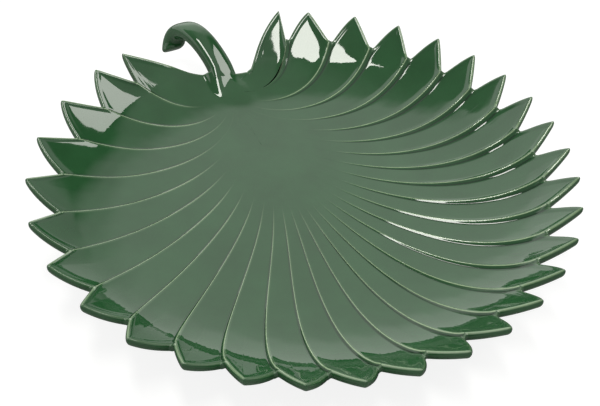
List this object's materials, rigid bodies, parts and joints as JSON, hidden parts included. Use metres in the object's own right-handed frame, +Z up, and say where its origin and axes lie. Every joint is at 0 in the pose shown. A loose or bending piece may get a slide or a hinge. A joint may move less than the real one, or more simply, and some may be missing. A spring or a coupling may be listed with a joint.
{
  "type": "leaf plate",
  "caption": "Broad serving plate pressed as a pleated fan-palm leaf, with a saw-toothed rim, a curled stem for a handle and a ring foot to stand on.",
  "frame": {"origin": "middle of the plate's bounding box in plan, on the table under the ring foot", "axes": "+Z up out of the dish, +Y along the stem away from the dish, +X to the right seen from above with the stem at the top"},
  "size_m": [0.331, 0.3546, 0.0437],
  "materials": {
    "green_glaze": "clear glossy glaze, thin and paler on the crests",
    "bare_clay": "unglazed, fired, matte"
  },
  "bodies": {
    "root": {"leaf_dish": "green_glaze", "stem_handle": "green_glaze", "foot_ring": "bare_clay"}
  },
  "joints": []
}
